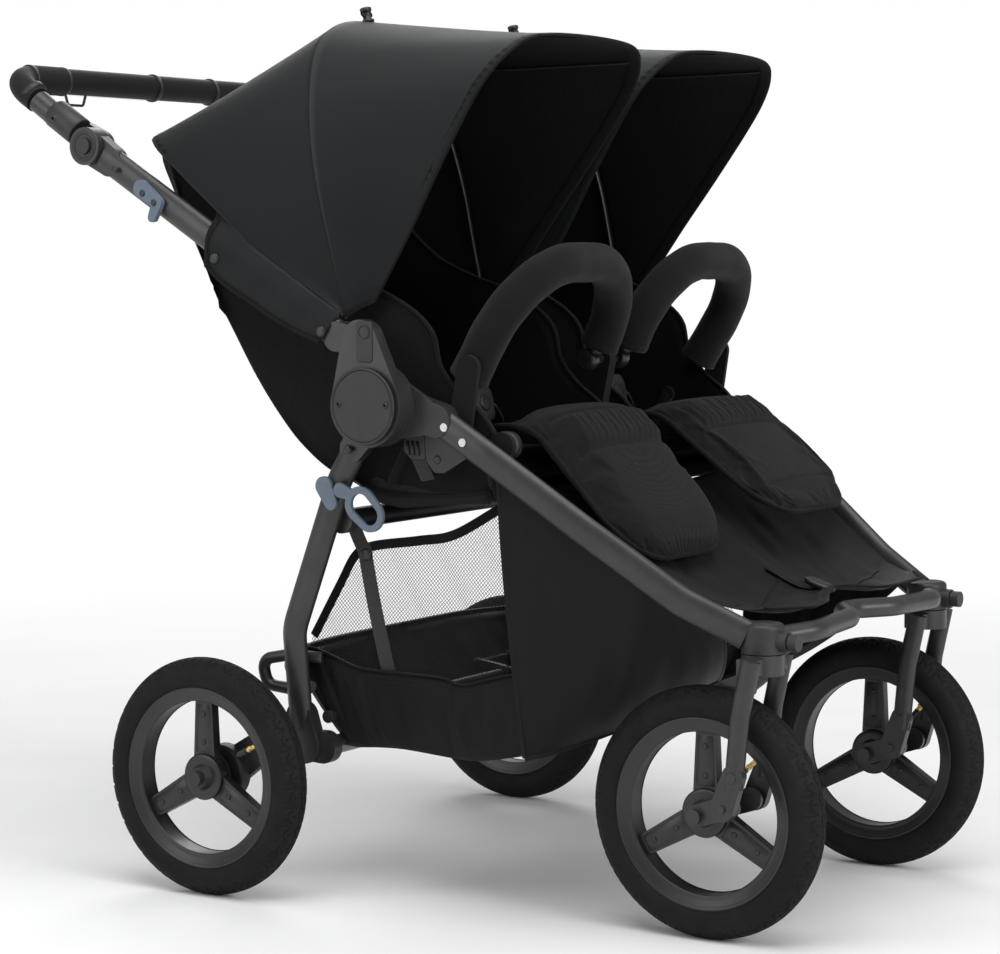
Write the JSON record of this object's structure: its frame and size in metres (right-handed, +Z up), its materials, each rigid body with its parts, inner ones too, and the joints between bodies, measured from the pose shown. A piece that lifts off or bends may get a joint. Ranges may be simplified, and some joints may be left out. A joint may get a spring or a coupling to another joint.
{
  "type": "side-by-side double stroller",
  "caption": "Folding side-by-side double stroller with air-filled wheels, swivelling front forks, hooded reclining seats, padded bumper bars and an under-seat basket.",
  "frame": {"origin": "on the ground under the middle of the whole stroller", "axes": "+Z up, the stroller faces -Y, +X across the stroller to the child's left as it faces forward"},
  "size_m": [0.774, 1.13, 1.0994],
  "materials": {
    "frame_black": "satin powder coat",
    "satin_aluminium": "satin",
    "bolt_steel": "polished",
    "black_plastic": "matte",
    "blue_grey_plastic": "matte",
    "canopy_cloth": "woven",
    "seat_cloth": "woven",
    "padded_wrap": "matte",
    "webbing": "ribbed",
    "nylon_cloth": "smooth",
    "tyre_rubber": "matte",
    "rim_black": "satin",
    "hub_black": "satin"
  },
  "bodies": {
    "root": {"left_rail": "frame_black", "right_rail": "frame_black", "left_hub_housing": "black_plastic", "right_hub_housing": "black_plastic", "front_cross_tube": "frame_black", "seat_frame": "frame_black", "frame_fasteners": "bolt_steel", "swivel_heads": "black_plastic", "seat_pads": "seat_cloth", "harness_buckles": "black_plastic", "footwell": "nylon_cloth", "basket": "nylon_cloth", "left_canopy_rear": "canopy_cloth", "right_canopy_rear": "canopy_cloth"},
    "handle_frame": {"left_upright": "frame_black", "right_upright": "frame_black", "hub_covers": "black_plastic"},
    "push_bar": {"handlebar": "frame_black", "hand_grip": "padded_wrap"},
    "rear_frame": {"rear_legs": "frame_black", "rear_cross_tubes": "satin_aluminium", "latch_bracket": "blue_grey_plastic"},
    "fold_latch": {"fold_latch": "blue_grey_plastic"},
    "brake_pedal": {"brake_pedal": "black_plastic"},
    "left_tilt_button": {"left_tilt_button": "black_plastic"},
    "left_fold_trigger": {"left_fold_trigger": "blue_grey_plastic"},
    "left_swivel_lock": {"left_swivel_lock": "black_plastic"},
    "left_fork": {"left_fork": "frame_black"},
    "left_front_link": {"left_front_link": "satin_aluminium"},
    "left_front_wheel": {"left_front_tyre": "tyre_rubber", "left_front_rim": "rim_black", "left_front_hub": "hub_black"},
    "left_rear_arm": {"left_rear_arm": "black_plastic"},
    "left_rear_wheel": {"left_rear_tyre": "tyre_rubber", "left_rear_rim": "rim_black", "left_rear_hub": "hub_black"},
    "left_canopy_middle": {"left_canopy_middle": "canopy_cloth"},
    "left_canopy_front": {"left_canopy_front": "canopy_cloth"},
    "left_seat_back": {"left_seat_back": "seat_cloth", "left_shoulder_harness": "webbing"},
    "left_bumper_bar": {"left_bumper_bar": "padded_wrap"},
    "left_leg_rest": {"left_leg_rest": "seat_cloth"},
    "right_tilt_button": {"right_tilt_button": "black_plastic"},
    "right_fold_trigger": {"right_fold_trigger": "blue_grey_plastic"},
    "right_swivel_lock": {"right_swivel_lock": "black_plastic"},
    "right_fork": {"right_fork": "frame_black"},
    "right_front_link": {"right_front_link": "satin_aluminium"},
    "right_front_wheel": {"right_front_tyre": "tyre_rubber", "right_front_rim": "rim_black", "right_front_hub": "hub_black"},
    "right_rear_arm": {"right_rear_arm": "black_plastic"},
    "right_rear_wheel": {"right_rear_tyre": "tyre_rubber", "right_rear_rim": "rim_black", "right_rear_hub": "hub_black"},
    "right_canopy_middle": {"right_canopy_middle": "canopy_cloth"},
    "right_canopy_front": {"right_canopy_front": "canopy_cloth"},
    "right_seat_back": {"right_seat_back": "seat_cloth", "right_shoulder_harness": "webbing"},
    "right_bumper_bar": {"right_bumper_bar": "padded_wrap"},
    "right_leg_rest": {"right_leg_rest": "seat_cloth"}
  },
  "joints": [
    {"name": "frame_fold", "type": "hinge", "parent": "root", "child": "handle_frame", "pos_m": [0, -0.026, 0.621], "axis": [1, 0, 0], "range_deg": [0, 145]},
    {"name": "rear_fold", "type": "hinge", "parent": "root", "child": "rear_frame", "pos_m": [0, -0.026, 0.621], "axis": [1, 0, 0], "range_deg": [-60, 0], "deforming": ["basket"]},
    {"name": "push_bar_tilt", "type": "hinge", "parent": "handle_frame", "child": "push_bar", "pos_m": [0, 0.406, 0.939], "axis": [1, 0, 0], "range_deg": [-35, 35]},
    {"name": "latch_swing", "type": "hinge", "parent": "rear_frame", "child": "fold_latch", "pos_m": [-0.337, 0.033, 0.516], "axis": [-1, 0, 0], "range_deg": [0, 16], "stiffness_Nm_per_rad": 0.4},
    {"name": "brake_press", "type": "hinge", "parent": "rear_frame", "child": "brake_pedal", "pos_m": [0, 0.091, 0.226], "axis": [-1, 0, 0], "range_deg": [0, 18]},
    {"name": "left_tilt_button_press", "type": "slide", "parent": "handle_frame", "child": "left_tilt_button", "axis": [1, 0, 0], "range_m": [0, 0.004], "stiffness_N_per_m": 400},
    {"name": "left_trigger_pull", "type": "hinge", "parent": "handle_frame", "child": "left_fold_trigger", "pos_m": [-0.365, 0.313, 0.884], "axis": [-1, 0, 0], "range_deg": [0, 20], "stiffness_Nm_per_rad": 0.4},
    {"name": "left_swivel_lock_pull", "type": "slide", "parent": "root", "child": "left_swivel_lock", "axis": [0, -1, 0], "range_m": [0, 0.005], "stiffness_N_per_m": 300},
    {"name": "left_swivel", "type": "hinge", "parent": "root", "child": "left_fork", "pos_m": [-0.23, -0.487, 0.342], "axis": [0, 0, 1], "continuous": true},
    {"name": "left_front_suspension", "type": "hinge", "parent": "left_fork", "child": "left_front_link", "pos_m": [-0.23, -0.458, 0.165], "axis": [1, 0, 0], "range_deg": [0, 12], "stiffness_Nm_per_rad": 60, "springref_deg": -5.73},
    {"name": "left_front_wheel_spin", "type": "hinge", "parent": "left_front_link", "child": "left_front_wheel", "pos_m": [-0.23, -0.416, 0.15], "axis": [1, 0, 0], "continuous": true},
    {"name": "left_rear_suspension", "type": "hinge", "parent": "rear_frame", "child": "left_rear_arm", "pos_m": [-0.315, 0.163, 0.192], "axis": [1, 0, 0], "range_deg": [0, 10], "stiffness_Nm_per_rad": 150, "springref_deg": -5.73},
    {"name": "left_rear_wheel_spin", "type": "hinge", "parent": "left_rear_arm", "child": "left_rear_wheel", "pos_m": [-0.36, 0.225, 0.15], "axis": [1, 0, 0], "continuous": true},
    {"name": "left_canopy_fold", "type": "hinge", "parent": "root", "child": "left_canopy_middle", "pos_m": [-0.17, 0.018, 0.7], "axis": [1, 0, 0], "range_deg": [-37, 0]},
    {"name": "left_canopy_visor", "type": "hinge", "parent": "left_canopy_middle", "child": "left_canopy_front", "pos_m": [-0.17, 0.018, 0.7], "axis": [1, 0, 0], "range_deg": [-22, 0]},
    {"name": "left_seat_recline", "type": "hinge", "parent": "root", "child": "left_seat_back", "pos_m": [-0.1675, 0.043, 0.556], "axis": [1, 0, 0], "range_deg": [-30, 25]},
    {"name": "left_bumper_swing", "type": "hinge", "parent": "root", "child": "left_bumper_bar", "pos_m": [-0.166, -0.139, 0.667], "axis": [1, 0, 0], "range_deg": [0, 60]},
    {"name": "left_leg_rest_raise", "type": "hinge", "parent": "root", "child": "left_leg_rest", "pos_m": [-0.16, -0.182, 0.575], "axis": [-1, 0, 0], "range_deg": [0, 40]},
    {"name": "right_tilt_button_press", "type": "slide", "parent": "handle_frame", "child": "right_tilt_button", "axis": [-1, 0, 0], "range_m": [0, 0.004], "stiffness_N_per_m": 400},
    {"name": "right_trigger_pull", "type": "hinge", "parent": "handle_frame", "child": "right_fold_trigger", "pos_m": [0.365, 0.313, 0.884], "axis": [-1, 0, 0], "range_deg": [0, 20], "stiffness_Nm_per_rad": 0.4},
    {"name": "right_swivel_lock_pull", "type": "slide", "parent": "root", "child": "right_swivel_lock", "axis": [0, -1, 0], "range_m": [0, 0.005], "stiffness_N_per_m": 300},
    {"name": "right_swivel", "type": "hinge", "parent": "root", "child": "right_fork", "pos_m": [0.23, -0.487, 0.342], "axis": [0, 0, 1], "continuous": true},
    {"name": "right_front_suspension", "type": "hinge", "parent": "right_fork", "child": "right_front_link", "pos_m": [0.23, -0.458, 0.165], "axis": [1, 0, 0], "range_deg": [0, 12], "stiffness_Nm_per_rad": 60, "springref_deg": -5.73},
    {"name": "right_front_wheel_spin", "type": "hinge", "parent": "right_front_link", "child": "right_front_wheel", "pos_m": [0.23, -0.416, 0.15], "axis": [1, 0, 0], "continuous": true},
    {"name": "right_rear_suspension", "type": "hinge", "parent": "rear_frame", "child": "right_rear_arm", "pos_m": [0.315, 0.163, 0.192], "axis": [1, 0, 0], "range_deg": [0, 10], "stiffness_Nm_per_rad": 150, "springref_deg": -5.73},
    {"name": "right_rear_wheel_spin", "type": "hinge", "parent": "right_rear_arm", "child": "right_rear_wheel", "pos_m": [0.36, 0.225, 0.15], "axis": [1, 0, 0], "continuous": true},
    {"name": "right_canopy_fold", "type": "hinge", "parent": "root", "child": "right_canopy_middle", "pos_m": [0.17, 0.018, 0.7], "axis": [1, 0, 0], "range_deg": [-37, 0]},
    {"name": "right_canopy_visor", "type": "hinge", "parent": "right_canopy_middle", "child": "right_canopy_front", "pos_m": [0.17, 0.018, 0.7], "axis": [1, 0, 0], "range_deg": [-22, 0]},
    {"name": "right_seat_recline", "type": "hinge", "parent": "root", "child": "right_seat_back", "pos_m": [0.1675, 0.043, 0.556], "axis": [1, 0, 0], "range_deg": [-30, 25]},
    {"name": "right_bumper_swing", "type": "hinge", "parent": "root", "child": "right_bumper_bar", "pos_m": [0.166, -0.139, 0.667], "axis": [1, 0, 0], "range_deg": [0, 60]},
    {"name": "right_leg_rest_raise", "type": "hinge", "parent": "root", "child": "right_leg_rest", "pos_m": [0.16, -0.182, 0.575], "axis": [-1, 0, 0], "range_deg": [0, 40]}
  ],
  "couplings": [
    {"joint": "rear_fold", "follows": "frame_fold", "ratio": -0.41379},
    {"joint": "left_canopy_visor", "follows": "left_canopy_fold", "ratio": 0.59459},
    {"joint": "right_canopy_visor", "follows": "right_canopy_fold", "ratio": 0.59459}
  ]
}
